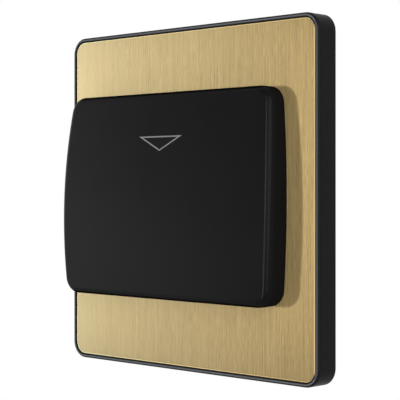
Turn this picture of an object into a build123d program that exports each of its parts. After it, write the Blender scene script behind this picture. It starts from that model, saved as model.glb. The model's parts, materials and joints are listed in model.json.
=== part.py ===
from build123d import *
from math import cos, radians, sin
import os

os.makedirs("parts", exist_ok=True)

# Front frame, in millimetres: X right, Y into the wall, Z up, wall face at Y = 0
frame_size = 92.0
frame_corner = 4.6
frame_edge = 0.65
rim_width = 1.25
frame_wall = 1.9
web_thick = 1.6
pry_width = 8.0
pry_depth = 2.0

# Brushed plate let into the frame
plate_inset = 0.36
plate_thick = 0.8
plate_gap = 0.06

# Pillow-shaped hood, measured out from the plate
hood_depth = 10.8
crown_radius = 263.0
crown_z = -9.6
hood_flare_width = 3.85
hood_swell = 0.7
hood_base_top = 28.37
hood_base_low = -26.72
hood_draft_width = 0.4
side_bow_depth = 1.14
hood_corner = 4.5
hood_edge = 1.7
hood_wall = 2.0
boss_radius = 2.0
boss_gap = 0.11
boss_wall_gap = 0.85
boss_inset = 8.05
boss_hole_depth = 6.0

# Card way: an ID-1 card, 53.98 mm wide, goes in from the top
card_width = 53.98
card_side_gap = 0.5
slot_depth = 4.3
guide_thick = 1.5
guide_top_gap = 0.5
guide_low_gap = 3.9
guide_slide_gap = 0.1
rail_thick = 1.0
rail_front_gap = 0.2
stop_thick = 1.6
lead_in = 0.8

# Lever that the card pushes down
pivot_y = -1.0
pivot_rise = 11.0
pin_radius = 1.0
pin_proud = 0.5
running_gap = 0.05
pin_fit = 0.01
lever_tilt = 12.0
paddle_reach = 12.1
paddle_root = 2.9
paddle_half = 5.8
paddle_thick = 1.6
neck_half = 4.2
hub_radius = 2.2
hub_left = -7.0
hub_right = 4.4
spring_boss_radius = 1.45
spring_boss_end = 7.0
tail_half = 2.5
tail_back = 1.0
tail_front = -0.8
nose_radius = 1.1
nose_y = 0.3
nose_drop = 4.0
window_half = 6.8
window_height = 9.2
stop_drop = 1.2

# Torsion spring round the lever's boss
wire_radius = 0.2
coil_radius = 1.8
coil_pitch = 0.5
coil_turns = 4.244
coil_steps = 66
wire_sides = 6
coil_start = 4.75
coil_start_angle = 251.0
spring_leg = 5.6

# Mounting plate on the wall box
yoke_side_gap = 3.1
yoke_edge = 4.5
yoke_thick = 1.2
yoke_corner = 3.0
yoke_window_gap = 0.9
fixing_pitch = 60.3
fixing_radius = 1.75
fixing_gap = 0.2
fixing_slot = 7.0
fixing_length = 16.0
fixing_head_radius = 3.3
fixing_head = 2.0
fixing_head_gap = 0.54
fixing_neck_radius = 1.45
fixing_thread_start = 0.05
lip_height = 1.0
lip_length = 50.0

# Snap arms from the frame through the yoke
clip_x = 14.0
clip_width = 7.0
clip_room = 4.5
clip_thick = 1.3
clip_hook = 0.8
clip_reach = 2.6
clip_play = 0.1

# Case of the switch module
chassis_width = 50.0
chassis_height = 48.0
chassis_depth = 24.0
chassis_corner = 3.0
chassis_wall = 1.6
chassis_front = 1.8
post_inset = 4.0
post_radius = 2.7
chassis_window_half = 7.4
chassis_window_rise = 3.0
chassis_window_drop = 6.6
ear_thick = 1.8
stop_bar_gap = 0.3
stop_bar_thick = 1.2
stop_bar_height = 1.6
ledge_z = 8.0
ledge_thick = 1.4
ledge_height = 4.0
cover_thick = 1.8
vent_count = 6
vent_pitch = 5.0
vent_length = 9.0
vent_width = 1.6

# Thread-forming screws
thread_gap = 0.02
screw_radius = 1.1
screw_gap = 0.2
screw_head_radius = 2.1
screw_head = 1.4
screw_reach = 8.0
screw_tip_gap = 0.4
recess_width = 0.6
recess_span = 2.4
recess_deep = 0.7

# Circuit board and what stands on it
board_y = 11.8
board_thick = 1.6
board_gap = 0.4
switch_left = -12.4
switch_length = 19.8
switch_lift = 0.2
switch_thick = 6.4
switch_face = 2.4
switch_hole_radius = 1.1
switch_hole_pitch = 9.5
switch_hole_back = 6.5
button_radius = 1.2
button_gap = 0.06
button_tip = 0.5
button_length = 4.5
button_travel = 1.7
pin_xs = (-10.6, -2.5, 5.6)
lead_radius = 0.45
lead_gap = 0.15
relay_width = 12.7
relay_side_gap = 5.0
relay_film_gap = 2.5
relay_head_gap = 0.4
relay_post_gap = 0.6
film_length = 13.0
film_width = 6.0
film_head_gap = 1.0
film_post_gap = 2.3
film_side_gap = 7.5
can_radius = 4.0
can_head_gap = 1.1
can_side_gap = 6.5
can_z = -5.0
can_groove = 0.3
disc_head_gap = 2.2
disc_thick = 3.4
disc_fuse_gap = 1.8
disc_z = -4.3
fuse_radius = 2.2
fuse_length = 10.0
fuse_cap = 2.4
fuse_side_gap = 7.5
fuse_z = -6.0
fuse_glass = 0.3
seat_inset = 2.9
seat_z = -6.0
part_edge = 0.5

# Screw terminals
terminal_count = 4
block_post_gap = 1.1
block_height = 10.0
block_back_gap = 0.2
block_floor = 1.6
pocket_rib = 2.4
pocket_height = 7.2
clamp_gap = 0.1
clamp_back = 1.0
wire_radius_in = 1.9
wire_lift = 3.2
entry_radius = 2.2
terminal_screw_radius = 1.5
terminal_head_radius = 2.3
terminal_head = 1.6
terminal_head_lift = 0.6
terminal_hole_gap = 0.5
earth_width = 7.2
earth_height = 7.0
earth_depth = 7.6
earth_gap = 1.2

# Levels along Y and other sizes that follow from the ones above
frame_depth = plate_inset + plate_thick + web_thick + fixing_head_gap + fixing_head + yoke_thick
plate_y = plate_inset - frame_depth
web_y = plate_y + plate_thick
web_back = web_y + web_thick
guide_front = plate_y - guide_thick
slot_front = guide_front - slot_depth
recess_size = frame_size - 2 * rim_width
recess_corner = frame_corner - rim_width
rail_inner = card_width / 2 + card_side_gap
guide_half = rail_inner + rail_thick
guide_top = hood_base_top - guide_top_gap
guide_low = hood_base_low + guide_low_gap
boss_x = guide_half + boss_gap + boss_radius
boss_z = (hood_base_top - hood_base_low) / 2 - boss_inset
hood_base_half = boss_x + boss_radius + boss_wall_gap + hood_wall
pivot_z = pivot_rise - chassis_height / 2
stop_z = pivot_z - stop_drop
chassis_window_top = pivot_z + chassis_window_rise
chassis_window_low = pivot_z - chassis_window_drop
switch_z = pivot_z - nose_drop + switch_lift
clip_z = chassis_height / 2 + clip_room
yoke_width = frame_size - 2 * frame_wall - 2 * yoke_side_gap
yoke_height = 2 * (clip_z + yoke_edge)
post_x = chassis_width / 2 - post_inset
post_z = chassis_height / 2 - post_inset
earth_z = -chassis_height / 2 - earth_gap - earth_height / 2
board_back = board_y + board_thick
relay_length = chassis_width - relay_side_gap - relay_film_gap - film_width - film_side_gap
relay_x = relay_side_gap + relay_length / 2 - chassis_width / 2
relay_height = chassis_depth - board_back - relay_head_gap
relay_z = post_z - post_radius - relay_post_gap - relay_width / 2
film_x = chassis_width / 2 - film_side_gap - film_width / 2
film_height = chassis_depth - board_back - film_head_gap
film_z = post_z - post_radius - film_post_gap - film_length / 2
can_x = chassis_width / 2 - can_side_gap - can_radius
can_height = chassis_depth - board_back - can_head_gap
disc_radius = (chassis_depth - board_back - disc_head_gap) / 2
fuse_x = fuse_side_gap + fuse_length / 2 - chassis_width / 2
disc_x = fuse_x + fuse_length / 2 + disc_fuse_gap + disc_radius
seat_x = chassis_width / 2 - chassis_wall - seat_inset
block_low = chassis_wall + board_gap - chassis_height / 2
terminal_pitch = 2 * (post_x - post_radius - block_post_gap) / terminal_count
pocket_width = terminal_pitch - pocket_rib
pin_half = chassis_window_half + stop_bar_gap + ear_thick + pin_proud
ear_start = chassis_window_half + stop_bar_gap
ear_root = chassis_front / 2 - pivot_y
bar_front = tail_front - stop_bar_gap - stop_bar_thick
hood_spots = [(sx * boss_x, sz * boss_z) for sx in (-1, 1) for sz in (-1, 1)]
post_spots = [(sx * post_x, sz * post_z) for sx in (-1, 1) for sz in (-1, 1)]
terminal_xs = [(n - (terminal_count - 1) / 2) * terminal_pitch for n in range(terminal_count)]
board_seats = [(-seat_x, seat_z), (seat_x, seat_z), (0.0, chassis_height / 2 - chassis_wall - seat_inset)]
lever_plane = Plane(origin=(0, pivot_y, pivot_z), x_dir=(0, 1, 0), z_dir=(1, 0, 0))
paddle_plane = Plane(
    origin=(0, pivot_y, pivot_z),
    x_dir=(0, cos(radians(lever_tilt)), -sin(radians(lever_tilt))),
    z_dir=(1, 0, 0),
)
coil_plane = Plane(
    origin=(coil_start, pivot_y, pivot_z),
    x_dir=(0, cos(radians(coil_start_angle)), sin(radians(coil_start_angle))),
    z_dir=(1, 0, 0),
)


def level(y):
    return Plane.XZ.offset(-y)


def hood_section(rise):
    half = hood_base_half + hood_flare_width * rise**hood_swell
    top = hood_base_top - hood_draft_width * rise
    low = hood_base_low + hood_draft_width * rise
    corner_x = half - side_bow_depth
    middle = (top + low) / 2
    with BuildSketch(level(plate_y - hood_depth * rise)) as outline:
        with BuildLine():
            Line((-corner_x, top), (corner_x, top))
            ThreePointArc((corner_x, top), (half, middle), (corner_x, low))
            Line((corner_x, low), (-corner_x, low))
            ThreePointArc((-corner_x, low), (-half, middle), (-corner_x, top))
        make_face()
        fillet(outline.vertices(), hood_corner)
    return outline.sketch


def hollow_section(rise):
    half = boss_x + boss_radius + guide_slide_gap + hood_flare_width * rise**hood_swell
    top = hood_base_top - hood_draft_width * rise - hood_wall
    low = hood_base_low + hood_draft_width * rise + hood_wall
    with BuildSketch(level(plate_y - hood_depth * rise)) as outline:
        with Locations((0, (top + low) / 2)):
            RectangleRounded(2 * half, top - low, hood_corner - hood_wall)
    return outline.sketch


def screw_set(spots, seat, toward, reach, radius, head_radius, head, neck=0.0, neck_radius=0.0):
    with BuildPart() as screws:
        with BuildSketch(level(seat - toward * neck)):
            with Locations(*spots):
                Circle(radius)
        extrude(amount=toward * (reach - neck))
        if neck:
            with BuildSketch(level(seat)):
                with Locations(*spots):
                    Circle(neck_radius)
            extrude(amount=toward * neck)
        with BuildSketch(level(seat)):
            with Locations(*spots):
                Circle(head_radius)
        extrude(amount=-toward * head)
        with BuildSketch(level(seat + toward * head)):
            with Locations(*spots):
                Rectangle(recess_span, recess_width)
                Rectangle(recess_width, recess_span)
        extrude(amount=toward * recess_deep, mode=Mode.SUBTRACT)
    return screws


with BuildPart() as front_frame:
    with BuildSketch(level(0)):
        RectangleRounded(frame_size, frame_size, frame_corner)
    extrude(amount=frame_depth)
    fillet(front_frame.faces().sort_by(Axis.Y)[0].edges(), frame_edge)
    with BuildSketch(level(-frame_depth)):
        RectangleRounded(recess_size, recess_size, recess_corner)
    extrude(amount=-(plate_inset + plate_thick), mode=Mode.SUBTRACT)
    with BuildSketch(level(0)):
        RectangleRounded(
            frame_size - 2 * frame_wall, frame_size - 2 * frame_wall, frame_corner - frame_wall
        )
    extrude(amount=-web_back, mode=Mode.SUBTRACT)
    with BuildSketch(level(0)):
        with Locations((0, pivot_z)):
            Rectangle(2 * window_half, window_height)
        with Locations(*hood_spots):
            Circle(screw_radius + screw_gap)
    extrude(amount=frame_depth, mode=Mode.SUBTRACT)
    with BuildSketch(level(0)):
        with Locations((0, -frame_size / 2)):
            Rectangle(pry_width, 2 * frame_wall + 1)
    extrude(amount=pry_depth, mode=Mode.SUBTRACT)
    for side in (-1, 1):
        for start in (-clip_x - clip_width / 2, clip_x - clip_width / 2):
            with BuildSketch(Plane.YZ.offset(start)):
                with BuildLine():
                    Polyline(
                        (web_back, side * (clip_z - clip_thick / 2)),
                        (web_back, side * (clip_z + clip_thick / 2)),
                        (clip_play, side * (clip_z + clip_thick / 2)),
                        (clip_play, side * (clip_z + clip_thick / 2 + clip_hook)),
                        (clip_play + clip_hook, side * (clip_z + clip_thick / 2 + clip_hook)),
                        (clip_reach, side * (clip_z + clip_thick / 4)),
                        (clip_reach, side * (clip_z - clip_thick / 2)),
                        close=True,
                    )
                make_face()
            extrude(amount=clip_width)

with BuildPart() as brass_plate:
    with BuildSketch(level(web_y)):
        RectangleRounded(
            recess_size - 2 * plate_gap, recess_size - 2 * plate_gap, recess_corner - plate_gap
        )
        with Locations((0, pivot_z)):
            Rectangle(2 * window_half, window_height, mode=Mode.SUBTRACT)
        with Locations(*hood_spots):
            Circle(screw_radius + screw_gap, mode=Mode.SUBTRACT)
    extrude(amount=plate_thick)

with BuildPart() as hood_core:
    loft(sections=[hollow_section(rise) for rise in (0.0, 1.1)], ruled=True)
    with BuildSketch(Plane.YZ.offset(-frame_size)):
        with Locations((plate_y - hood_depth + crown_radius, crown_z)):
            Circle(crown_radius - hood_wall)
    extrude(amount=2 * frame_size, mode=Mode.INTERSECT)
    with BuildSketch(level(guide_front)):
        with Locations(*hood_spots):
            Circle(boss_radius)
        with GridLocations(2 * (boss_x + boss_radius), 2 * boss_z, 2, 2):
            Rectangle(2 * boss_radius, 2 * boss_radius)
    extrude(amount=hood_depth, mode=Mode.SUBTRACT)

with BuildPart() as card_hood:
    loft(sections=[hood_section(rise) for rise in (0.0, 0.4, 1.1)])
    with BuildSketch(Plane.YZ.offset(-frame_size)):
        with Locations((plate_y - hood_depth + crown_radius, crown_z)):
            Circle(crown_radius)
    extrude(amount=2 * frame_size, mode=Mode.INTERSECT)
    fillet(card_hood.faces().sort_by(Axis.Y)[0].edges(), hood_edge)
    add(hood_core.part, mode=Mode.SUBTRACT)
    with BuildSketch(level(plate_y)):
        with Locations((0, hood_base_top)):
            Rectangle(2 * (guide_half + guide_slide_gap), 4 * hood_wall)
    extrude(amount=guide_thick + slot_depth, mode=Mode.SUBTRACT)
    with BuildSketch(level(guide_front)):
        with Locations(*hood_spots):
            Circle(screw_radius + thread_gap)
    extrude(amount=boss_hole_depth, mode=Mode.SUBTRACT)

with BuildPart() as card_guide:
    with BuildSketch(level(plate_y)):
        with Locations((0, (guide_top + guide_low) / 2)):
            Rectangle(2 * guide_half, guide_top - guide_low)
        with Locations(*hood_spots):
            Circle(boss_radius)
        with Locations((0, boss_z), (0, -boss_z)):
            Rectangle(2 * boss_x, 2 * boss_radius)
    extrude(amount=guide_thick)
    chamfer(card_guide.edges().filter_by(Axis.X).group_by(Axis.Z)[-1].sort_by(Axis.Y)[0], lead_in)
    with BuildSketch(level(guide_front)):
        with Locations((0, (guide_top + guide_low) / 2)):
            with GridLocations(2 * rail_inner + rail_thick, 0, 2, 1):
                Rectangle(rail_thick, guide_top - guide_low)
        with Locations((0, stop_z - stop_thick / 2)):
            Rectangle(2 * guide_half, stop_thick)
    extrude(amount=slot_depth - rail_front_gap)
    with BuildSketch(level(plate_y)):
        with Locations((0, pivot_z)):
            Rectangle(2 * window_half, window_height)
        with Locations(*hood_spots):
            Circle(screw_radius + screw_gap)
    extrude(amount=guide_thick + slot_depth, mode=Mode.SUBTRACT)

hood_screws = screw_set(
    hood_spots,
    web_back,
    1,
    web_back - guide_front + boss_hole_depth - screw_tip_gap,
    screw_radius,
    screw_head_radius,
    screw_head,
)

with BuildPart() as yoke_plate:
    with BuildSketch(level(0)):
        RectangleRounded(yoke_width, yoke_height, yoke_corner)
        with Locations((0, (chassis_window_top + chassis_window_low) / 2)):
            Rectangle(
                2 * (pin_half + yoke_window_gap),
                chassis_window_top - chassis_window_low + 2 * yoke_window_gap,
                mode=Mode.SUBTRACT,
            )
        for side in (-1, 1):
            with Locations((-clip_x, side * (clip_z - clip_hook)), (clip_x, side * (clip_z - clip_hook))):
                Rectangle(
                    clip_width + 2 * clip_hook,
                    clip_thick + 2 * clip_hook + 2 * clip_play,
                    mode=Mode.SUBTRACT,
                )
        with Locations((-fixing_pitch / 2, 0)):
            Circle(fixing_radius + fixing_gap, mode=Mode.SUBTRACT)
        with Locations((fixing_pitch / 2, 0)):
            SlotOverall(
                fixing_slot, 2 * (fixing_radius + fixing_gap), rotation=90, mode=Mode.SUBTRACT
            )
        with Locations(*post_spots):
            Circle(screw_radius + screw_gap, mode=Mode.SUBTRACT)
    extrude(amount=yoke_thick)
    with BuildSketch(level(-yoke_thick)):
        with GridLocations(0, yoke_height - yoke_thick, 1, 2):
            Rectangle(lip_length, yoke_thick)
    extrude(amount=lip_height)

fixing_screws = screw_set(
    [(-fixing_pitch / 2, 0), (fixing_pitch / 2, 0)],
    -yoke_thick,
    -1,
    fixing_length,
    fixing_radius,
    fixing_head_radius,
    fixing_head,
    yoke_thick - fixing_thread_start,
    fixing_neck_radius,
)

with BuildPart() as chassis:
    with BuildSketch(level(0)):
        RectangleRounded(chassis_width, chassis_height, chassis_corner)
    extrude(amount=-chassis_depth)
    with BuildSketch(level(chassis_depth)):
        RectangleRounded(
            chassis_width - 2 * chassis_wall,
            chassis_height - 2 * chassis_wall,
            chassis_corner - chassis_wall,
        )
    extrude(amount=chassis_depth - chassis_front, mode=Mode.SUBTRACT)
    with BuildSketch(level(0)):
        with Locations(*post_spots):
            Circle(post_radius)
    extrude(amount=-chassis_depth)
    with BuildSketch(level(0)):
        with Locations(*post_spots):
            Circle(screw_radius + thread_gap)
    extrude(amount=-chassis_depth, mode=Mode.SUBTRACT)
    with BuildSketch(level(chassis_front)):
        with GridLocations(chassis_width - 2 * chassis_wall - ledge_thick, 2 * ledge_z, 2, 2):
            Rectangle(ledge_thick, ledge_height)
    extrude(amount=chassis_front - board_y)
    with BuildSketch(level(chassis_front)):
        with Locations((0, (chassis_window_top + chassis_window_low) / 2)):
            Rectangle(2 * chassis_window_half, chassis_window_top - chassis_window_low)
    extrude(amount=chassis_front, mode=Mode.SUBTRACT)
    for start in (-ear_start - ear_thick, ear_start):
        with BuildSketch(lever_plane.offset(start)):
            with BuildLine():
                Polyline(
                    (ear_root, hub_radius),
                    (0, hub_radius),
                    (bar_front, 0),
                    (bar_front, -nose_drop - stop_bar_height / 2),
                    (ear_root, -nose_drop - stop_bar_height / 2),
                    close=True,
                )
            make_face()
            Circle(hub_radius)
            Circle(pin_radius + pin_fit, mode=Mode.SUBTRACT)
        extrude(amount=ear_thick)
    with BuildSketch(lever_plane.offset(-ear_start)):
        with Locations((bar_front + stop_bar_thick / 2, -nose_drop)):
            Rectangle(stop_bar_thick, stop_bar_height)
    extrude(amount=2 * ear_start)
    with BuildSketch(Plane.XY.offset(-chassis_height / 2 - 1)):
        with Locations(*[(x, board_back + block_floor + wire_lift) for x in terminal_xs]):
            Circle(entry_radius)
    extrude(amount=chassis_wall + 1.2, mode=Mode.SUBTRACT)
    with BuildSketch(Plane.XY.offset(chassis_height / 2 - chassis_wall - 0.2)):
        with Locations((0, chassis_depth / 2)):
            with GridLocations(vent_pitch, 0, vent_count, 1):
                Rectangle(vent_width, vent_length)
    extrude(amount=chassis_wall + 1.2, mode=Mode.SUBTRACT)

yoke_screws = screw_set(
    post_spots, -yoke_thick, -1, screw_reach, screw_radius, screw_head_radius, screw_head
)

with BuildPart() as actuator_lever:
    with BuildSketch(lever_plane.offset(hub_left)):
        Circle(hub_radius)
    extrude(amount=hub_right - hub_left)
    with BuildSketch(lever_plane.offset(hub_right)):
        Circle(spring_boss_radius)
    extrude(amount=spring_boss_end - hub_right)
    with BuildSketch(paddle_plane):
        with Locations((-(paddle_root + hub_radius) / 2, 0)):
            Rectangle(paddle_root + hub_radius, paddle_thick)
    extrude(amount=neck_half, both=True)
    with BuildSketch(paddle_plane):
        with Locations((-(paddle_root + paddle_reach) / 2, 0)):
            Rectangle(paddle_reach - paddle_root, paddle_thick)
        with Locations((-paddle_reach, 0)):
            Circle(paddle_thick / 2)
    extrude(amount=paddle_half, both=True)
    with BuildSketch(lever_plane):
        with Locations(((tail_front + tail_back) / 2, -nose_drop / 2)):
            Rectangle(tail_back - tail_front, nose_drop)
        with Locations((nose_y, -nose_drop)):
            Circle(nose_radius)
    extrude(amount=tail_half, both=True)
    with BuildSketch(lever_plane.offset(hub_left)):
        Circle(pin_radius + running_gap)
    extrude(amount=spring_boss_end - hub_left, mode=Mode.SUBTRACT)

with BuildPart() as lever_pin:
    with BuildSketch(lever_plane.offset(-pin_half)):
        Circle(pin_radius)
    extrude(amount=2 * pin_half)

with BuildLine() as spring_path:
    coil = Helix(coil_pitch, coil_pitch * coil_turns, coil_radius, mode=Mode.PRIVATE)
    Polyline(
        coil @ 0 - (coil % 0) * spring_leg,
        *[coil @ (n / coil_steps) for n in range(coil_steps + 1)],
        coil @ 1 + (coil % 1) * spring_leg,
    )
spring_wire = spring_path.wire().moved(coil_plane.location)

with BuildPart() as return_spring:
    with BuildSketch(Plane(origin=spring_wire @ 0, z_dir=spring_wire % 0)):
        RegularPolygon(wire_radius, wire_sides)
    sweep(path=spring_wire, transition=Transition.RIGHT)

with BuildPart() as microswitch_case:
    with BuildSketch(level(board_y)):
        with Locations((switch_left + switch_length / 2, switch_z)):
            Rectangle(switch_length, switch_thick)
    extrude(amount=board_y - switch_face)
    fillet(microswitch_case.edges().filter_by(Axis.Y), part_edge)
    with BuildSketch(Plane.XY.offset(switch_z - switch_thick)):
        with Locations((switch_left + switch_length / 2, switch_face + switch_hole_back)):
            with GridLocations(switch_hole_pitch, 0, 2, 1):
                Circle(switch_hole_radius)
    extrude(amount=2 * switch_thick, mode=Mode.SUBTRACT)
    with BuildSketch(level(switch_face)):
        with Locations((0, switch_z)):
            Circle(button_radius + button_gap)
    extrude(
        amount=switch_face - button_tip - button_length - button_travel - button_gap,
        mode=Mode.SUBTRACT,
    )

with BuildPart() as microswitch_button:
    with BuildSketch(level(button_tip)):
        with Locations((0, switch_z)):
            Circle(button_radius)
    extrude(amount=-button_length)
    chamfer(microswitch_button.edges().sort_by(Axis.Y)[0], button_radius / 4)

with BuildPart() as microswitch_pins:
    with BuildSketch(level(board_y)):
        with Locations(*[(x, switch_z) for x in pin_xs]):
            Circle(lead_radius)
    extrude(amount=-board_thick)

with BuildPart() as circuit_board:
    with BuildSketch(level(board_back)):
        Rectangle(
            chassis_width - 2 * chassis_wall - 2 * board_gap,
            chassis_height - 2 * chassis_wall - 2 * board_gap,
        )
        with Locations(*post_spots):
            Rectangle(
                2 * (post_radius + board_gap), 2 * (post_radius + board_gap), mode=Mode.SUBTRACT
            )
        with Locations(*[(x, switch_z) for x in pin_xs]):
            Circle(lead_radius + lead_gap, mode=Mode.SUBTRACT)
    extrude(amount=board_thick)

with BuildPart() as relay:
    with BuildSketch(level(board_back)):
        with Locations((relay_x, relay_z)):
            Rectangle(relay_length, relay_width)
    extrude(amount=-relay_height)
    fillet(relay.edges().filter_by(Axis.Y), part_edge)
    chamfer(relay.faces().sort_by(Axis.Y)[-1].edges(), part_edge)

with BuildPart() as film_capacitor:
    with BuildSketch(level(board_back)):
        with Locations((film_x, film_z)):
            Rectangle(film_width, film_length)
    extrude(amount=-film_height)
    fillet(film_capacitor.edges().filter_by(Axis.Y), part_edge)

with BuildPart() as reservoir_capacitor:
    with BuildSketch(level(board_back)):
        with Locations((can_x, can_z)):
            Circle(can_radius - can_groove)
    extrude(amount=-can_height / 4)
    with BuildSketch(level(board_back)):
        with Locations((can_x, can_z)):
            Circle(can_radius)
    extrude(amount=-can_height / 8)
    with BuildSketch(level(board_back + can_height / 5)):
        with Locations((can_x, can_z)):
            Circle(can_radius)
    extrude(amount=-can_height * 0.8)
    chamfer(reservoir_capacitor.edges().sort_by(Axis.Y)[-1], part_edge)

with BuildPart() as varistor:
    with BuildSketch(Plane.XY.offset(disc_z - disc_thick / 2)):
        with Locations((disc_x, board_back + disc_radius)):
            Circle(disc_radius)
        with Locations((disc_x, board_back + disc_radius / 2)):
            Rectangle(disc_radius, disc_radius)
    extrude(amount=disc_thick)

with BuildPart() as fuse:
    with BuildSketch(Plane.YZ.offset(fuse_x - fuse_length / 2)):
        with Locations((board_back + fuse_radius, fuse_z)):
            Circle(fuse_radius - fuse_glass)
    extrude(amount=fuse_length)
    for start in (fuse_x - fuse_length / 2, fuse_x + fuse_length / 2 - fuse_cap):
        with BuildSketch(Plane.YZ.offset(start)):
            with Locations((board_back + fuse_radius, fuse_z)):
                Circle(fuse_radius)
        extrude(amount=fuse_cap)

with BuildPart() as terminal_block:
    with BuildSketch(level(board_back)):
        with Locations((0, block_low + block_height / 2)):
            Rectangle(terminal_pitch * terminal_count, block_height)
    extrude(amount=board_back + block_back_gap - chassis_depth)
    with BuildSketch(level(chassis_depth)):
        with Locations(*[(x, block_low + block_height / 2) for x in terminal_xs]):
            Rectangle(pocket_width, pocket_height)
    extrude(amount=chassis_depth - board_back - block_floor, mode=Mode.SUBTRACT)
    with BuildSketch(Plane.XY.offset(block_low - 1)):
        with Locations(*[(x, board_back + block_floor + wire_lift) for x in terminal_xs]):
            Circle(entry_radius)
    extrude(amount=block_height / 2, mode=Mode.SUBTRACT)

with BuildPart() as terminal_clamps:
    with BuildSketch(level(board_back + block_floor)):
        with Locations(*[(x, block_low + block_height / 2) for x in terminal_xs]):
            Rectangle(pocket_width - 2 * clamp_gap, pocket_height - 2 * clamp_gap)
    extrude(amount=board_back + block_floor + clamp_back - chassis_depth)
    with BuildSketch(Plane.XY.offset(block_low - 1)):
        with Locations(*[(x, board_back + block_floor + wire_lift) for x in terminal_xs]):
            Circle(wire_radius_in)
    extrude(amount=2 * block_height, mode=Mode.SUBTRACT)
    with BuildSketch(level(chassis_depth)):
        with Locations(*[(x, block_low + block_height / 2) for x in terminal_xs]):
            Circle(terminal_screw_radius + thread_gap)
    extrude(amount=chassis_depth - board_back - block_floor - wire_lift, mode=Mode.SUBTRACT)

terminal_screws = screw_set(
    [(x, block_low + block_height / 2) for x in terminal_xs],
    chassis_depth - clamp_back + terminal_head_lift,
    1,
    chassis_depth - clamp_back + terminal_head_lift - board_back - block_floor - wire_lift - screw_tip_gap,
    terminal_screw_radius,
    terminal_head_radius,
    terminal_head,
)

with BuildPart() as rear_cover:
    with BuildSketch(level(chassis_depth)):
        RectangleRounded(chassis_width, chassis_height, chassis_corner)
        with Locations(*[(x, block_low + block_height / 2) for x in terminal_xs]):
            Circle(terminal_head_radius + terminal_hole_gap, mode=Mode.SUBTRACT)
        with Locations(*post_spots):
            Circle(screw_radius + screw_gap, mode=Mode.SUBTRACT)
    extrude(amount=-cover_thick)
    with BuildSketch(level(chassis_depth)):
        with Locations(*board_seats):
            Circle(post_radius / 2)
    extrude(amount=chassis_depth - board_back)

cover_screws = screw_set(
    post_spots,
    chassis_depth + cover_thick,
    1,
    screw_reach,
    screw_radius,
    screw_head_radius,
    screw_head,
)

with BuildPart() as earth_clamp:
    with BuildSketch(level(0)):
        with Locations((0, earth_z)):
            Rectangle(earth_width, earth_height)
    extrude(amount=-earth_depth)
    with BuildSketch(Plane.YZ.offset(-earth_width)):
        with Locations((wire_lift, earth_z)):
            Circle(wire_radius_in)
    extrude(amount=2 * earth_width, mode=Mode.SUBTRACT)
    with BuildSketch(level(earth_depth)):
        with Locations((0, earth_z)):
            Circle(terminal_screw_radius + thread_gap)
    extrude(amount=earth_depth - wire_lift, mode=Mode.SUBTRACT)

earth_screw = screw_set(
    [(0, earth_z)],
    earth_depth + terminal_head_lift,
    1,
    earth_depth + terminal_head_lift - wire_lift - screw_tip_gap,
    terminal_screw_radius,
    terminal_head_radius,
    terminal_head,
)

front_frame.part.label = "front_frame"
export_step(front_frame.part, "parts/front_frame.step")
brass_plate.part.label = "brass_plate"
export_step(brass_plate.part, "parts/brass_plate.step")
card_hood.part.label = "card_hood"
export_step(card_hood.part, "parts/card_hood.step")
card_guide.part.label = "card_guide"
export_step(card_guide.part, "parts/card_guide.step")
hood_screws.part.label = "hood_screws"
export_step(hood_screws.part, "parts/hood_screws.step")
yoke_plate.part.label = "yoke_plate"
export_step(yoke_plate.part, "parts/yoke_plate.step")
fixing_screws.part.label = "fixing_screws"
export_step(fixing_screws.part, "parts/fixing_screws.step")
chassis.part.label = "chassis"
export_step(chassis.part, "parts/chassis.step")
yoke_screws.part.label = "yoke_screws"
export_step(yoke_screws.part, "parts/yoke_screws.step")
actuator_lever.part.label = "actuator_lever"
export_step(actuator_lever.part, "parts/actuator_lever.step")
lever_pin.part.label = "lever_pin"
export_step(lever_pin.part, "parts/lever_pin.step")
return_spring.part.label = "return_spring"
export_step(return_spring.part, "parts/return_spring.step")
microswitch_case.part.label = "microswitch_case"
export_step(microswitch_case.part, "parts/microswitch_case.step")
microswitch_button.part.label = "microswitch_button"
export_step(microswitch_button.part, "parts/microswitch_button.step")
microswitch_pins.part.label = "microswitch_pins"
export_step(microswitch_pins.part, "parts/microswitch_pins.step")
circuit_board.part.label = "circuit_board"
export_step(circuit_board.part, "parts/circuit_board.step")
relay.part.label = "relay"
export_step(relay.part, "parts/relay.step")
film_capacitor.part.label = "film_capacitor"
export_step(film_capacitor.part, "parts/film_capacitor.step")
reservoir_capacitor.part.label = "reservoir_capacitor"
export_step(reservoir_capacitor.part, "parts/reservoir_capacitor.step")
varistor.part.label = "varistor"
export_step(varistor.part, "parts/varistor.step")
fuse.part.label = "fuse"
export_step(fuse.part, "parts/fuse.step")
terminal_block.part.label = "terminal_block"
export_step(terminal_block.part, "parts/terminal_block.step")
terminal_clamps.part.label = "terminal_clamps"
export_step(terminal_clamps.part, "parts/terminal_clamps.step")
terminal_screws.part.label = "terminal_screws"
export_step(terminal_screws.part, "parts/terminal_screws.step")
rear_cover.part.label = "rear_cover"
export_step(rear_cover.part, "parts/rear_cover.step")
cover_screws.part.label = "cover_screws"
export_step(cover_screws.part, "parts/cover_screws.step")
earth_clamp.part.label = "earth_clamp"
export_step(earth_clamp.part, "parts/earth_clamp.step")
earth_screw.part.label = "earth_screw"
export_step(earth_screw.part, "parts/earth_screw.step")
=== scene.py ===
import json
import math

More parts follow.
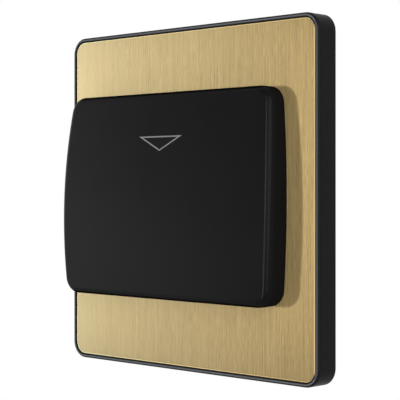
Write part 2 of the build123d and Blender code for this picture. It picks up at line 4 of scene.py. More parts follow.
import bpy
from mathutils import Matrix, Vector


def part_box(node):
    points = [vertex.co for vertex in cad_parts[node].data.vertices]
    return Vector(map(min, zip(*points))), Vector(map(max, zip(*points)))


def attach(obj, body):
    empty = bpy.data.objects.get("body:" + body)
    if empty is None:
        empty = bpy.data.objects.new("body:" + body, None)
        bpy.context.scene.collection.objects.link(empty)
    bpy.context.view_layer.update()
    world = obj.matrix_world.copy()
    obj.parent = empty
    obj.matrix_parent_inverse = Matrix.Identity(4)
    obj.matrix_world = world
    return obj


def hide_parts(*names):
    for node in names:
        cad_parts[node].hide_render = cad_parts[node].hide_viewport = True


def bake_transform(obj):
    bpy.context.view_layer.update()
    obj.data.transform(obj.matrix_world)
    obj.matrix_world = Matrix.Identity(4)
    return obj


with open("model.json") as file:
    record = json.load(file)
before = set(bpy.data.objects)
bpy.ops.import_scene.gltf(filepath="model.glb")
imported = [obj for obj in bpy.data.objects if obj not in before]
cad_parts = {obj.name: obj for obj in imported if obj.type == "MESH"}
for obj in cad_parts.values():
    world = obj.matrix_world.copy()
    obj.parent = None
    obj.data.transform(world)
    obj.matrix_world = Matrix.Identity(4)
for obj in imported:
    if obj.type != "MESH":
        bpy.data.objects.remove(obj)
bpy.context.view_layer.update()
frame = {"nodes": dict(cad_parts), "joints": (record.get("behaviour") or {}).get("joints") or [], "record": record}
nodes = frame["nodes"]
mm = 0.001
print("frame loaded:", len(nodes), "nodes")


class Wire:
    # A node socket that takes part in plain sums
    def __init__(self, tree, socket=None):
        self.tree = tree
        self.socket = socket

    def feed(self, target, values):
        for key, value in values.items():
            if isinstance(value, Wire):
                self.tree.links.new(value.socket, target.inputs[key])
            else:
                target.inputs[key].default_value = value

    def node(self, kind, settings=None, values=None, out=0):
        made = self.tree.nodes.new(kind)
        for key, value in (settings or {}).items():
            setattr(made, key, value)
        self.feed(made, values or {})
        return Wire(self.tree, made.outputs[out])

    def sum(self, operation, first, second=0.0):
        return self.node("ShaderNodeMath", {"operation": operation}, {0: first, 1: second})

    def __add__(self, other):
        return self.sum("ADD", self, other)

    def __radd__(self, other):
        return self.sum("ADD", other, self)

    def __sub__(self, other):
        return self.sum("SUBTRACT", self, other)

    def __rsub__(self, other):
        return self.sum("SUBTRACT", other, self)

    def __mul__(self, other):
        return self.sum("MULTIPLY", self, other)

    def __rmul__(self, other):
        return self.sum("MULTIPLY", other, self)

    def __gt__(self, other):
        return self.sum("GREATER_THAN", self, other)

    def __lt__(self, other):
        return self.sum("LESS_THAN", self, other)

    def __abs__(self):
        return self.sum("ABSOLUTE", self)

    def __pow__(self, other):
        return self.sum("POWER", self, other)


def startFinish(name):
    finish = bpy.data.materials.new(name)
    finish.use_nodes = True
    wire = Wire(finish.node_tree)
    shader = finish.node_tree.nodes["Principled BSDF"]
    place = wire.node("ShaderNodeTexCoord", out="Object")
    return finish, wire, shader, place


def noise(wire, place, scale, detail=3.0):
    return wire.node("ShaderNodeTexNoise", {}, {"Vector": place, "Scale": scale, "Detail": detail})


def stretched(wire, place, scale):
    return wire.node("ShaderNodeMapping", {}, {"Vector": place, "Scale": scale})


def mixed(wire, factor, first, second):
    return wire.node("ShaderNodeMix", {"data_type": "RGBA"}, {0: factor, 6: first, 7: second}, 2)


def vectorSum(wire, operation, values, out=0):
    return wire.node("ShaderNodeVectorMath", {"operation": operation}, values, out)


def split(wire, place):
    parts = wire.node("ShaderNodeSeparateXYZ", {}, {"Vector": place}).socket.node
    return [Wire(wire.tree, parts.outputs[axis]) for axis in "XYZ"]


# Goes from 0 at one value to 1 at another
def climb(wire, value, start, full):
    return wire.node("ShaderNodeMapRange", {}, {"Value": value, "From Min": start, "From Max": full})


def band(wire, value, low, high, soft):
    return climb(wire, value, low - soft, low + soft) * climb(wire, value, high + soft, high - soft)


# How far a point lies inside a rounded square that faces front
def insideSquare(wire, place, half, corner):
    x, _, z = split(wire, place)
    overX = abs(x) - (half - corner)
    overZ = abs(z) - (half - corner)
    outX = wire.sum("MAXIMUM", overX, 0.0)
    outZ = wire.sum("MAXIMUM", overZ, 0.0)
    cornerReach = (outX * outX + outZ * outZ) ** 0.5
    sideReach = wire.sum("MINIMUM", wire.sum("MAXIMUM", overX, overZ), 0.0)
    return corner - (cornerReach + sideReach)


def colour(rgb):
    return (rgb[0], rgb[1], rgb[2], 1.0)


def shade(rgb, share):
    return colour([c * share for c in rgb])


def clouded(wire, cloud, rgb, spread):
    return mixed(wire, cloud, shade(rgb, 1.0 - spread), shade(rgb, 1.0 + spread))


def bump(wire, height, strength, depth):
    return wire.node(
        "ShaderNodeBump", {}, {"Strength": strength, "Distance": depth * mm, "Height": height}
    )


# Moulded plastic: faint clouding of colour and gloss, and a fine spark-eroded grain
mouldGrain = {
    "cloudScale": 60.0,
    "cloudShade": 0.12,
    "cloudGloss": 0.12,
    "grainScale": 5200.0,
    "grainDetail": 2.0,
    "grainGloss": 0.1,
    "grainRelief": 0.12,
    "grainHeight": 0.02,  # mm
}


def mouldedPlastic(name, look):
    look = mouldGrain | look
    finish, wire, shader, place = startFinish(name)
    cloud = noise(wire, place, look["cloudScale"])
    grain = noise(wire, place, look["grainScale"], look["grainDetail"])
    tone = clouded(wire, cloud, look["colour"], look["cloudShade"])
    gloss = (cloud - 0.5) * look["cloudGloss"] + (grain - 0.5) * look["grainGloss"]
    wire.feed(
        shader,
        {
            "Base Color": tone,
            "Roughness": gloss + look["roughness"],
            "Specular IOR Level": look["specular"],
            "Normal": bump(wire, grain, look["grainRelief"], look["grainHeight"]),
        },
    )
    return finish, wire, shader, place, tone


# Plated or drawn metal: cloudy colour with fine scratches across the height
metalGrain = {
    "cloudScale": 250.0,
    "darkShade": 0.86,
    "lightShade": 1.08,
    "cloudGloss": 0.15,
    "scratchScale": (900.0, 900.0, 5000.0),
    "scratchGloss": 0.2,
    "scratchRelief": 0.25,
    "scratchHeight": 0.01,  # mm
}


def platedMetal(name, look):
    look = metalGrain | look
    finish, wire, shader, place = startFinish(name)
    cloud = noise(wire, place, look["cloudScale"])
    scratch = noise(wire, stretched(wire, place, look["scratchScale"]), 1.0)
    dark, light = (shade(look["colour"], look[share]) for share in ("darkShade", "lightShade"))
    gloss = (scratch - 0.5) * look["scratchGloss"] + (cloud - 0.5) * look["cloudGloss"]
    wire.feed(
        shader,
        {
            "Base Color": mixed(wire, cloud, dark, light),
            "Metallic": 1.0,
            "Roughness": gloss + look["roughness"],
            "Normal": bump(wire, scratch, look["scratchRelief"], look["scratchHeight"]),
        },
    )
    return finish


# Brass plate: fine short and long vertical brush strokes, a painted sheen from a lit pale tone at the left
# to a shaded warm tone at the right with a painted lighter band across the middle height, and a painted highlight
# along the cut edge that shows widest on the right; lengths in mm
brassLook = {
    "paintedLitColour": (0.69, 0.565, 0.3),
    "paintedShadedColour": (0.365, 0.261, 0.109),
    "metallic": 0.08,
    "specular": 0.12,
    "lacquer": 0.1,
    "lacquerRoughness": 0.3,
    "roughness": 0.55,
    "fineWidth": 0.09,
    "fineLength": 3.0,
    "fineDetail": 2.0,
    "fineDepth": 0.5,
    "longWidth": 0.16,
    "longLength": 14.0,
    "longDetail": 0.0,
    "longDepth": 0.22,
    "strokeLeft": 0.61,  # strength of the strokes at the left edge, and what is added to the right
    "strokeGain": 2.074,
    "strokeGloss": 0.25,
    "strokeRelief": 0.3,
    "strokeHeight": 0.01,
    "sheenCurve": 0.6,
    "sheenTilt": 0.085,
    "sheenFall": 0.27,
    "corner": 3.29,
    "edgeHighlightGain": 1.75,
    "edgeHighlightMost": 0.9,
    "edgeHighlightWidth": 0.15,
    "edgeHighlightRight": 0.56,
    "edgeHighlightSoft": 0.05,
}


def brushedBrass(name, look):
    finish, wire, shader, place = startFinish(name)
    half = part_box("brass_plate")[1][0]
    strokes = {}
    for kind in ("fine", "long"):
        along = 1.0 / (look[kind + "Length"] * mm)
        scale = (1.0 / (look[kind + "Width"] * mm), along, along)
        strokes[kind] = noise(wire, stretched(wire, place, scale), 1.0, look[kind + "Detail"])
    stroke = (strokes["fine"] - 0.5) * look["fineDepth"] + (strokes["long"] - 0.5) * look["longDepth"]

    x, _, z = split(wire, place)
    # Painted sheen: colour runs from a lit pale tone at the left to a shaded warm tone at the right
    sheen = (x * (0.5 / half) + 0.5) ** look["sheenCurve"]
    tone = mixed(wire, sheen, colour(look["paintedLitColour"]), colour(look["paintedShadedColour"]))
    rise = z * (1.0 / half)
    # Painted light: lighter in a band across the middle height, darker towards the top and more so towards the
    # bottom
    paintedBand = rise * look["sheenTilt"] - rise * rise * look["sheenFall"]
    depth = sheen * look["strokeGain"] + look["strokeLeft"]
    strength = (stroke * depth + 1.0) * (paintedBand + 1.0)
    brushedWithPaintedSheen = vectorSum(wire, "SCALE", {0: tone, "Scale": strength})

    # Painted highlight: a brighter band of the plate's own colour along its cut edge, wider on the right
    inset = insideSquare(wire, place, half, look["corner"] * mm)
    right = x > half - look["edgeHighlightRight"] * mm
    width = right * ((look["edgeHighlightRight"] - look["edgeHighlightWidth"]) * mm) + look["edgeHighlightWidth"] * mm
    edge = band(wire, inset, -half, width, look["edgeHighlightSoft"] * mm)
    paintedEdgeHighlight = vectorSum(wire, "SCALE", {0: tone, "Scale": look["edgeHighlightGain"]})
    paintedEdgeHighlight = vectorSum(wire, "MINIMUM", {0: paintedEdgeHighlight, 1: (look["edgeHighlightMost"],) * 3})
    wire.feed(
        shader,
        {
            "Base Color": mixed(wire, edge, brushedWithPaintedSheen, paintedEdgeHighlight),
            "Metallic": look["metallic"],
            "Roughness": stroke * look["strokeGloss"] + look["roughness"],
            "Specular IOR Level": look["specular"],
            "Coat Weight": look["lacquer"],
            "Coat Roughness": look["lacquerRoughness"],
            "Normal": bump(wire, strokes["fine"], look["strokeRelief"], look["strokeHeight"]),
        },
    )
    return finish


# Frame: satin black with a painted grey highlight along the lip round the plate; lengths in mm
frameLook = {
    "colour": (0.005, 0.005, 0.0053),
    "roughness": 0.4,
    "specular": 0.058,
    "corner": 4.6,
    "lipHighlightColour": (0.084, 0.088, 0.095),
    "lipHighlightFrom": 0.45,
    "lipHighlightTo": 0.85,
    "lipHighlightSoft": 0.08,
    "lipHighlightFront": -6.2,
    "lipHighlightRight": 1.3,  # the painted highlight is wider and dimmer on the right
    "lipHighlightDimRight": 0.4,
}


def frameFinish(name, look):
    finish, wire, shader, place, tone = mouldedPlastic(name, look)
    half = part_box("front_frame")[1][0]
    inset = insideSquare(wire, place, half, look["corner"] * mm)
    x, y, _ = split(wire, place)
    right = x > half - look["lipHighlightRight"] * mm
    inner = right * ((look["lipHighlightRight"] - look["lipHighlightTo"]) * mm) + look["lipHighlightTo"] * mm
    # Painted highlight: a grey band on the front face along the lip, wider and dimmer on the right
    lip = band(wire, inset, look["lipHighlightFrom"] * mm, inner, look["lipHighlightSoft"] * mm)
    front = y < look["lipHighlightFront"] * mm
    paintedLipHighlight = lip * front * (1.0 - right * look["lipHighlightDimRight"])
    wire.feed(shader, {"Base Color": mixed(wire, paintedLipHighlight, tone, colour(look["lipHighlightColour"]))})
    return finish


# Hood: satin front, sides left matt from the mould with a lighter colour painted in place of their reflection, and
# painted shade on the rounded edges above and below;
# each begins and is full where the surface has turned so far from the front or from upright
hoodLook = {
    "colour": (0.0019, 0.0019, 0.002),
    "roughness": 0.3,
    "specular": 0.056,
    "sidePaintedReflectionColour": (0.0098, 0.0098, 0.01),
    "sideShade": 0.15,
    "sideRoughness": 0.8,
    "sideFrom": 0.5,
    "sideFull": 0.15,
    "endColour": (0.003, 0.003, 0.003),
    "edgeShadeFrom": 0.3,
    "edgeShadeFull": 0.65,
    "rimFrom": 0.985,  # the flat rim of the card slot is kept out of the painted edge shade and takes the sides' lighter colour
    "rimFull": 0.998,
}


def hoodFinish(name, look):
    finish, wire, shader, place, _ = mouldedPlastic(name, look)
    x, y, z = split(wire, wire.node("ShaderNodeTexCoord", out="Normal"))
    side = climb(wire, 0.0 - y, look["sideFrom"], look["sideFull"])
    rim = climb(wire, abs(z), look["rimFrom"], look["rimFull"])
    # Painted shade: the rounded edges above and below are darkened and made matt, all but the flat rim of the slot
    end = climb(wire, abs(z) - abs(x), look["edgeShadeFrom"], look["edgeShadeFull"]) * (1.0 - rim)
    cloud = noise(wire, place, mouldGrain["cloudScale"])
    # Painted reflection: the sides take a lighter colour than the front in place of the sheen they catch
    tone = clouded(wire, cloud, look["sidePaintedReflectionColour"], look["sideShade"])
    matt = wire.node(
        "ShaderNodeBsdfPrincipled",
        {},
        {
            "Base Color": mixed(wire, end, tone, colour(look["endColour"])),
            "Roughness": look["sideRoughness"],
            "Specular IOR Level": 0.0,
        },
    )
    satin = Wire(wire.tree, shader.outputs[0])
    dull = wire.sum("MAXIMUM", side, end)
    both = wire.node("ShaderNodeMixShader", {}, {0: dull, 1: satin, 2: matt})
    wire.feed(wire.tree.nodes["Material Output"], {"Surface": both})
    return finish


# A moulded base with further coats laid over it, each a mask, a colour, its metal and its
# roughness; a metal coat comes last
coatGrain = {"cloudShade": 0.12, "cloudGloss": 0.15}


def layeredFinish(name, look, coats):
    look = coatGrain | look
    finish, wire, shader, place = startFinish(name)
    cloud = noise(wire, place, look["cloudScale"])
    tone = clouded(wire, cloud, look["colour"], look["cloudShade"])
    rough = (cloud - 0.5) * look["cloudGloss"] + look["roughness"]
    metal = 0.0
    for mask, rgb, metallic, roughness in coats(wire, place):
        tone = mixed(wire, mask, tone, colour(rgb))
        rough = rough * (1.0 - mask) + mask * roughness
        if metallic:
            metal = mask * metallic
    wire.feed(shader, {"Base Color": tone, "Roughness": rough, "Metallic": metal})
    return finish


# Fuse: ceramic tube between two plated caps
fuseLook = {
    "colour": (0.74, 0.72, 0.67),
    "roughness": 0.4,
    "cloudScale": 300.0,
    "capColour": (0.72, 0.72, 0.73),
    "capRoughness": 0.24,
    "capLength": 2.4,  # mm
}


def fuseCoats(wire, place):
    low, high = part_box("fuse")
    x = split(wire, place)[0]
    reach = (high[0] - low[0]) / 2 - fuseLook["capLength"] * mm
    caps = abs(x - (low[0] + high[0]) / 2) > reach
    return [(caps, fuseLook["capColour"], 1.0, fuseLook["capRoughness"])]


# Reservoir capacitor: shrink sleeve with one pale stripe, bare metal at the end
canLook = {
    "colour": (0.02, 0.035, 0.10),
    "roughness": 0.25,
    "cloudScale": 200.0,
    "stripeColour": (0.50, 0.53, 0.57),
    "stripeRoughness": 0.3,
    "stripeFrom": 0.7,  # share of the radius
    "endColour": (0.75, 0.76, 0.77),
    "endRoughness": 0.3,
    "endReach": 0.8,  # share of the radius
    "endDepth": 0.3,  # mm
}


def canCoats(wire, place):
    low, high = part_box("reservoir_capacitor")
    x, y, z = split(wire, place)
    radius = (high[0] - low[0]) / 2
    outX = x - (low[0] + radius)
    outZ = z - (low[2] + radius)
    stripe = outX > canLook["stripeFrom"] * radius
    core = (outX * outX + outZ * outZ) < (canLook["endReach"] * radius) ** 2
    end = core * (y > high[1] - canLook["endDepth"] * mm)
    return [
        (stripe, canLook["stripeColour"], 0.0, canLook["stripeRoughness"]),
        (end, canLook["endColour"], 1.0, canLook["endRoughness"]),
    ]


# Circuit board: solder mask over copper tracks, which shift by half a pitch from block to block
boardLook = {
    "colour": (0.015, 0.13, 0.045),
    "roughness": 0.28,
    "cloudScale": 120.0,
    "trackColour": (0.05, 0.27, 0.09),
    "trackRoughness": 0.32,
    "trackWidth": 0.5,  # mm
    "pitch": 2.54,  # mm
    "blockRows": 5,
    "cutColour": (0.45, 0.40, 0.22),
    "cutRoughness": 0.7,
    "cutDepth": 0.05,  # mm
}


def boardCoats(wire, place):
    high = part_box("circuit_board")[1]
    x, _, z = split(wire, place)
    pitch = boardLook["pitch"] * mm
    block = boardLook["blockRows"] * pitch
    half = boardLook["trackWidth"] * mm / 2
    cut = boardLook["cutDepth"] * mm
    shift = wire.sum("FLOOR", z * (1.0 / block)) * (pitch / 2)
    lane = abs(wire.sum("PINGPONG", x + shift, pitch)) < half
    cross = abs(wire.sum("PINGPONG", z, block / 2)) < half
    track = wire.sum("MAXIMUM", lane, cross)
    edge = wire.sum("MAXIMUM", abs(x) - (high[0] - cut), abs(z) - (high[2] - cut)) > 0.0
    return [
        (track, boardLook["trackColour"], 0.0, boardLook["trackRoughness"]),
        (edge, boardLook["cutColour"], 0.0, boardLook["cutRoughness"]),
    ]


plasticLooks = {
    "black_plastic": {"colour": (0.005, 0.005, 0.0053), "roughness": 0.4, "specular": 0.12},
    "grey_plastic": {"colour": (0.20, 0.21, 0.22), "roughness": 0.5, "specular": 0.4},
    "white_nylon": {"colour": (0.80, 0.79, 0.74), "roughness": 0.45, "specular": 0.45},
    "switch_plastic": {"colour": (0.022, 0.022, 0.024), "roughness": 0.4, "specular": 0.4},
    "button_red": {"colour": (0.45, 0.04, 0.03), "roughness": 0.3, "specular": 0.5},
    "relay_black": {"colour": (0.02, 0.02, 0.022), "roughness": 0.33, "specular": 0.45},
    "film_yellow": {"colour": (0.70, 0.50, 0.07), "roughness": 0.25, "specular": 0.5},
    "disc_blue": {"colour": (0.05, 0.14, 0.38), "roughness": 0.3, "specular": 0.5},
    "block_green": {"colour": (0.06, 0.27, 0.11), "roughness": 0.45, "specular": 0.45},
}
metalLooks = {
    "zinc_steel": {"colour": (0.48, 0.49, 0.51), "roughness": 0.36},
    "spring_steel": {"colour": (0.50, 0.50, 0.51), "roughness": 0.3},
    "pin_steel": {"colour": (0.62, 0.62, 0.63), "roughness": 0.22},
    "terminal_brass": {"colour": (0.70, 0.53, 0.26), "roughness": 0.3},
    "fuse_metal": {"colour": (0.70, 0.70, 0.70), "roughness": 0.28},
}

slotFinishes = {"brushed_brass": brushedBrass("brushed_brass", brassLook)}
for slotName, slotLook in plasticLooks.items():
    slotFinishes[slotName] = mouldedPlastic(slotName, slotLook)[0]
for slotName, slotLook in metalLooks.items():
    slotFinishes[slotName] = platedMetal(slotName, slotLook)

ownFinishes = {
    "front_frame": frameFinish("frame_plastic", frameLook),
    "card_hood": hoodFinish("hood_satin", hoodLook),
    "fuse": layeredFinish("fuse_tube", fuseLook, fuseCoats),
    "reservoir_capacitor": layeredFinish("capacitor_sleeve", canLook, canCoats),
    "circuit_board": layeredFinish("board_tracks", boardLook, boardCoats),
}
for row in frame["record"]["subparts"]:
    finish = ownFinishes.get(row["node"]) or slotFinishes[row["material_slot"]]
    slots = nodes[row["node"]].data.materials
    slots.clear()
    slots.append(finish)
print("finishes set:", len(slotFinishes) + len(ownFinishes))

bpy.ops.object.select_all(action="DESELECT")

# Insert arrow printed on the hood; lengths in mm
arrowLook = {
    "halfWidth": 8.0,
    "top": 16.5,
    "tip": 12.6,
    "stroke": 0.33,
    "film": 0.03,
    "drawnAt": -30.0,  # in front of the hood, before it is laid on
    "cuts": 5,
    "ink": (0.16, 0.16, 0.16),
    "roughness": 0.5,
    "specular": 0.3,
    "fleckScale": 2500.0,
    "fleckShade": 0.1,
    "fleckGloss": 0.1,
}


def arrowInk(name, look):
    finish, wire, shader, place = startFinish(name)
    fleck = noise(wire, place, look["fleckScale"])
    wire.feed(
        shader,
        {
            "Base Color": clouded(wire, fleck, look["ink"], look["fleckShade"]),
            "Roughness": (fleck - 0.5) * look["fleckGloss"] + look["roughness"],
            "Specular IOR Level": look["specular"],
        },
    )
    return finish


def makeArrow(look):
    height = look["top"] - look["tip"]
    bpy.ops.mesh.primitive_circle_add(
        vertices=3,
        radius=mm,
        fill_type="NGON",
        location=(0, look["drawnAt"] * mm, (look["top"] - height / 3) * mm),
        rotation=(math.pi / 2, math.pi, 0),
    )
    arrow = bpy.context.object
    arrow.name = "insert_arrow"
    # a triangle of radius 1 is 1.5 high, and cos 30 to each side
    arrow.scale = (look["halfWidth"] / math.cos(math.pi / 6), height / 1.5, 1)
    bpy.ops.object.transform_apply(location=True, rotation=True, scale=True)
    bpy.ops.object.mode_set(mode="EDIT")
    bpy.ops.mesh.select_all(action="SELECT")
    bpy.ops.mesh.inset(thickness=look["stroke"] * mm)
    bpy.ops.mesh.delete(type="FACE")  # the field inside the outline stays bare
    bpy.ops.mesh.select_all(action="SELECT")
    bpy.ops.mesh.subdivide(number_cuts=look["cuts"])
    bpy.ops.object.mode_set(mode="OBJECT")
    wrap = arrow.modifiers.new("lay_on_hood", "SHRINKWRAP")
    wrap.target = nodes["card_hood"]
    wrap.wrap_method = "PROJECT"
    wrap.use_project_x = False
    wrap.use_project_y = True
    wrap.use_project_z = False
    wrap.use_positive_direction = True
    wrap.use_negative_direction = False
    wrap.wrap_mode = "ABOVE_SURFACE"
    wrap.offset = look["film"] * mm
    bpy.ops.object.modifier_apply(modifier=wrap.name)
    body = arrow.modifiers.new("ink_film", "SOLIDIFY")
    body.thickness = look["film"] * mm
    body.offset = -1.0
    bpy.ops.object.modifier_apply(modifier=body.name)
    arrow.data.materials.append(arrowInk("arrow_ink", look))
    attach(arrow, "housing")


makeArrow(arrowLook)
print("insert arrow laid on the hood")


# Sweeps a round or three-sided section up a helix about Z
def windSection(name, look):
    bpy.ops.object.select_all(action="DESELECT")
    bpy.ops.mesh.primitive_circle_add(
        vertices=look["sides"],
        radius=look["section"] * mm,
        location=(look["radius"] * mm, 0, 0),
        rotation=(math.pi / 2, math.pi / 2, 0),
    )
    piece = bpy.context.object
    piece.name = name
    bpy.ops.object.transform_apply(location=True, rotation=True, scale=True)
    wind = piece.modifiers.new("wind", "SCREW")
    wind.axis = "Z"
    wind.angle = 2 * math.pi * look["turns"]
    wind.screw_offset = look["pitch"] * look["turns"] * mm
    wind.steps = round(look["stepsPerTurn"] * look["turns"])
    wind.render_steps = wind.steps
    bpy.ops.object.modifier_apply(modifier=wind.name)
    return piece


# The first and the last ring of points of a wound section
def endRings(piece, sides):
    count = len(piece.data.vertices)
    return range(sides), range(count - sides, count)


# Draws one open end of a wound section on by a move and closes it
def closeEnd(piece, ring, move):
    bpy.ops.object.mode_set(mode="EDIT")
    bpy.ops.mesh.select_mode(type="VERT")
    bpy.ops.mesh.select_all(action="DESELECT")
    bpy.ops.object.mode_set(mode="OBJECT")
    for index in ring:
        piece.data.vertices[index].select = True
    bpy.ops.object.mode_set(mode="EDIT")
    if move.length:
        bpy.ops.mesh.extrude_region_move(TRANSFORM_OT_translate={"value": move})
    bpy.ops.mesh.edge_face_add()
    bpy.ops.object.mode_set(mode="OBJECT")


def tidyMesh(piece, smoothAngle):
    bpy.ops.object.select_all(action="DESELECT")
    piece.select_set(True)
    bpy.context.view_layer.objects.active = piece
    bpy.ops.object.mode_set(mode="EDIT")
    bpy.ops.mesh.select_all(action="SELECT")
    bpy.ops.mesh.remove_doubles(threshold=mm / 1000)
    bpy.ops.mesh.normals_make_consistent(inside=False)
    bpy.ops.object.mode_set(mode="OBJECT")
    bpy.ops.object.shade_smooth_by_angle(angle=math.radians(smoothAngle))


# Torsion spring of the lever: round wire with two straight legs; lengths in mm
springLook = {
    "sides": 12,
    "section": 0.2,
    "radius": 1.8,
    "pitch": 0.5,
    "turns": 4.244,
    "stepsPerTurn": 32,
    "smoothAngle": 60.0,
    "startX": 4.75,
    "startAngle": 251.0,
    "leg": 5.6,
    "blendFrom": 6.8,  # two places along the pin, towards the housing and towards the lever
    "blendTo": 4.8,
}


def makeSpring(look):
    spring = windSection("wound_spring", look)
    rings = endRings(spring, look["sides"])
    for ring, turn, side in zip(rings, (0.0, 2 * math.pi * look["turns"]), (-1.0, 1.0)):
        along = Vector(
            (
                -math.sin(turn) * look["radius"],
                math.cos(turn) * look["radius"],
                look["pitch"] / (2 * math.pi),
            )
        )
        closeEnd(spring, ring, along.normalized() * (side * look["leg"] * mm))
    spring.rotation_euler.z = math.radians(look["startAngle"] + 90.0)
    bpy.ops.object.transform_apply(rotation=True)
    pivot = Vector(frame["joints"][0]["pos_m"])
    spring.rotation_euler.y = math.pi / 2
    spring.location = pivot + Vector((look["startX"] * mm, 0, 0))
    bpy.ops.object.transform_apply(location=True, rotation=True)
    tidyMesh(spring, look["smoothAngle"])
    spring.data.materials.append(slotFinishes["spring_steel"])
    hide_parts("return_spring")
    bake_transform(spring)


makeSpring(springLook)
print("return spring wound")

# Fixing screws: raised head with a cross recess, plain neck, rolled thread; lengths in mm
screwLook = {
    "rings": [  # place along the screw from the wall face, and radius
        (14.8, 0.9),
        (14.3, 1.38),
        (0.05, 1.38),
        (0.0, 1.45),
        (-1.2, 1.45),
        (-1.2, 3.3),
        (-2.35, 3.3),
        (-2.75, 3.1),
        (-3.05, 2.6),
        (-3.2, 1.9),
    ],
    "ringSides": 40,
    "smoothAngle": 35.0,
    "recess": (2.4, 0.6, 0.7),  # span, width and depth
    "thread": {
        "sides": 3,
        "section": 0.3,
        "radius": 1.45,
        "pitch": 0.6,
        "turns": 22.0,
        "stepsPerTurn": 20,
    },
    "threadStart": 0.45,
}


# A turned piece about Z: one disc drawn on and resized ring by ring
def turnRings(name, rings, sides):
    bpy.ops.object.select_all(action="DESELECT")
    place, radius = rings[0]
    bpy.ops.mesh.primitive_circle_add(
        vertices=sides, radius=radius * mm, fill_type="NGON", location=(0, 0, place * mm)
    )
    piece = bpy.context.object
    piece.name = name
    bpy.ops.object.transform_apply(location=True)
    bpy.ops.object.mode_set(mode="EDIT")
    bpy.ops.mesh.select_all(action="SELECT")
    for nextPlace, nextRadius in rings[1:]:
        bpy.ops.mesh.extrude_region_move(
            TRANSFORM_OT_translate={"value": (0, 0, (nextPlace - place) * mm)}
        )
        share = nextRadius / radius
        bpy.ops.transform.resize(value=(share, share, 1), center_override=(0, 0, nextPlace * mm))
        place, radius = nextPlace, nextRadius
    bpy.ops.object.mode_set(mode="OBJECT")
    return piece


def cutBar(piece, size, place, turn):
    bpy.ops.mesh.primitive_cube_add(size=1, location=(0, 0, place), rotation=(0, 0, turn))
    bar = bpy.context.object
    bar.scale = size
    bpy.ops.object.transform_apply(location=True, rotation=True, scale=True)
    cut = piece.modifiers.new("recess", "BOOLEAN")
    cut.operation = "DIFFERENCE"
    cut.object = bar
    bpy.context.view_layer.objects.active = piece
    bpy.ops.object.modifier_apply(modifier=cut.name)
    bpy.data.objects.remove(bar)


def makeScrews(look):
    screw = turnRings("fixing_screw_left", look["rings"], look["ringSides"])
    tidyMesh(screw, look["smoothAngle"])
    span, width, deep = (size * mm for size in look["recess"])
    headTop = look["rings"][-1][0] * mm
    for turn in (0.0, math.pi / 2):
        cutBar(screw, (span, width, 2 * deep), headTop, turn)
    ridge = windSection("screw_thread", look["thread"])
    for ring in endRings(ridge, look["thread"]["sides"]):
        closeEnd(ridge, ring, Vector())
    ridge.location.z = look["threadStart"] * mm
    bpy.ops.object.transform_apply(location=True)
    tidyMesh(ridge, look["smoothAngle"])
    screw.select_set(True)
    bpy.context.view_layer.objects.active = screw
    bpy.ops.object.join()
    pitch = frame["record"]["mounts"][0]["dims"]["pcd_mm"] * mm
    screw.rotation_euler.x = -math.pi / 2
    screw.location.x = -pitch / 2
    bpy.ops.object.transform_apply(location=True, rotation=True)
    bpy.ops.object.duplicate()
    other = bpy.context.object
    other.name = "fixing_screw_right"
    other.location.x = pitch
    bpy.ops.object.transform_apply(location=True)
    for piece in (screw, other):
        piece.data.materials.append(slotFinishes["zinc_steel"])
        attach(piece, "housing")
        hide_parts("fixing_screws")


makeScrews(screwLook)
print("fixing screws cut")

# Studio: white surround, pale floor, a small key lamp near the front, broad soft ones from the
# right and from behind, and three that light the black hood alone; lengths in m
studioLook = {
    "ambient": 0.08,
    "floor": {
        "height": -0.42,
        "size": 6.0,
        "colour": (0.86, 0.86, 0.86),
        "cloudScale": 4.0,
        "cloudShade": 0.01,
        "roughness": 0.8,
        "specular": 0.1,
        "whiteFrom": 0.45,  # distance from the middle at which it begins to go over into white
        "whiteFull": 0.7,
    },
    "flag": dict(turn=-24.0, lift=0.0, distance=0.7, size=(0.36, 1.6), felt=0.002, napScale=300.0),
    "lamps": {
        "key_lamp": dict(
            turn=-7.8, lift=0.0, distance=0.8, size=(0.07, 0.07), power=4.25, hood="never"
        ),
        "edge_lamp": dict(
            turn=-7.8, lift=0.0, distance=0.8, size=(0.16, 0.9), power=8.0, hood="only"
        ),
        "left_lamp": dict(
            turn=-66.0, lift=8.0, distance=0.9, size=(0.3, 0.3), power=0.75, hood="only"
        ),
        "low_lamp": dict(
            turn=-53.0, lift=-7.0, distance=0.9, size=(0.35, 0.35), power=0.54, hood="only"
        ),
        "right_lamp": dict(turn=55.0, lift=12.0, distance=0.8, size=(0.9, 0.9), power=7.0),
        "back_lamp": dict(turn=205.0, lift=8.0, distance=0.9, size=(0.5, 0.5), power=6.0),
    },
}


# A place in the studio by its turn from the front, its lift and its distance
def studioSpot(look):
    turn, lift = math.radians(look["turn"]), math.radians(look["lift"])
    across = look["distance"] * math.cos(lift)
    return Vector(
        (across * math.sin(turn), -across * math.cos(turn), look["distance"] * math.sin(lift))
    )


def addLamp(name, look):
    spot = studioSpot(look)
    bpy.ops.object.light_add(type="AREA", location=spot)
    lamp = bpy.context.object
    lamp.name = name
    lamp.data.shape = "ELLIPSE"
    lamp.data.size, lamp.data.size_y = look["size"]
    lamp.data.energy = look["power"]
    lamp.rotation_euler = (-spot).to_track_quat("-Z", "Y").to_euler()
    if "hood" in look:
        reach = bpy.data.collections.new(name + "_reach")
        reach.objects.link(nodes["card_hood"])
        if look["hood"] == "never":
            reach.collection_objects[0].light_linking.link_state = "EXCLUDE"
        lamp.light_linking.receiver_collection = reach


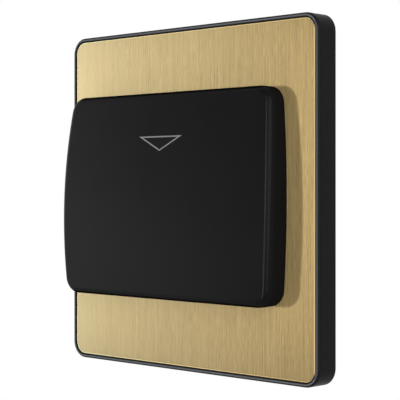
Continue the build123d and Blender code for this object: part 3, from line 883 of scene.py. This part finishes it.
# Black card that only shows as a dark line along the hood's right edge
def addFlag(look):
    finish, wire, shader, place = startFinish("flag_felt")
    nap = noise(wire, place, look["napScale"])
    felt = mixed(wire, nap, colour((0, 0, 0)), colour((look["felt"],) * 3))
    wire.feed(shader, {"Base Color": felt, "Roughness": 1.0, "Specular IOR Level": 0.0})
    spot = studioSpot(look)
    bpy.ops.mesh.primitive_plane_add(size=1, location=spot)
    flag = bpy.context.object
    flag.name = "flag"
    flag.scale = (look["size"][0], look["size"][1], 1)
    flag.rotation_euler = spot.to_track_quat("-Z", "Y").to_euler()
    bpy.ops.object.transform_apply(location=True, rotation=True, scale=True)
    flag.visible_camera = False
    flag.visible_diffuse = False
    flag.visible_shadow = False
    flag.data.materials.append(finish)


# Rays that show the white surround: those of the camera, of gloss and through clear pieces
def seenRays(wire):
    camera, glossy, clear = (
        wire.node("ShaderNodeLightPath", out=kind)
        for kind in ("Is Camera Ray", "Is Glossy Ray", "Is Transmission Ray")
    )
    return camera + glossy + clear > 0.5


def whiteLight(wire, kind, strength):
    return wire.node(kind, {}, {"Color": (1, 1, 1, 1), "Strength": strength})


def makeSurround(ambient):
    world = bpy.data.worlds.new("studio")
    bpy.context.scene.world = world
    world.use_nodes = True
    wire = Wire(world.node_tree)
    white = whiteLight(wire, "ShaderNodeBackground", 1.0)
    dim = whiteLight(wire, "ShaderNodeBackground", ambient)
    both = wire.node("ShaderNodeMixShader", {}, {0: seenRays(wire), 1: dim, 2: white})
    wire.feed(wire.tree.nodes["World Output"], {"Surface": both})


def makeFloor(look):
    bpy.ops.mesh.primitive_plane_add(size=look["size"], location=(0, 0, look["height"]))
    floor = bpy.context.object
    floor.name = "floor"
    bpy.ops.object.transform_apply(location=True)
    finish, wire, shader, place = startFinish("pale_floor")
    cloud = noise(wire, place, look["cloudScale"])
    wire.feed(
        shader,
        {
            "Base Color": clouded(wire, cloud, look["colour"], look["cloudShade"]),
            "Roughness": look["roughness"],
            "Specular IOR Level": look["specular"],
        },
    )
    across = vectorSum(wire, "LENGTH", {0: place}, "Value")
    far = climb(wire, across, look["whiteFrom"], look["whiteFull"])
    pale = Wire(wire.tree, shader.outputs[0])
    white = whiteLight(wire, "ShaderNodeEmission", 1.0)
    both = wire.node("ShaderNodeMixShader", {}, {0: far * seenRays(wire), 1: pale, 2: white})
    wire.feed(wire.tree.nodes["Material Output"], {"Surface": both})
    floor.data.materials.append(finish)


makeSurround(studioLook["ambient"])
makeFloor(studioLook["floor"])
addFlag(studioLook["flag"])
for lampName, lampLook in studioLook["lamps"].items():
    addLamp(lampName, lampLook)

# Camera fitted to the photograph's view: level, from the right; lengths in m, lens in mm
cameraLook = {
    "place": (0.2503, -0.2554, 0.00319),
    "turn": 44.51,
    "lens": 119.17,
    "sensor": 36.0,
    "shift": -0.0328,
    "near": 0.01,
}


def makeCamera(look):
    bpy.ops.object.camera_add(
        location=look["place"], rotation=(math.pi / 2, 0, math.radians(look["turn"]))
    )
    camera = bpy.context.object
    camera.data.lens = look["lens"]
    camera.data.sensor_width = look["sensor"]
    camera.data.shift_y = look["shift"]
    camera.data.clip_start = look["near"]
    bpy.context.scene.camera = camera


makeCamera(cameraLook)
bpy.context.scene.view_settings.view_transform = "Standard"
print("studio and camera set")
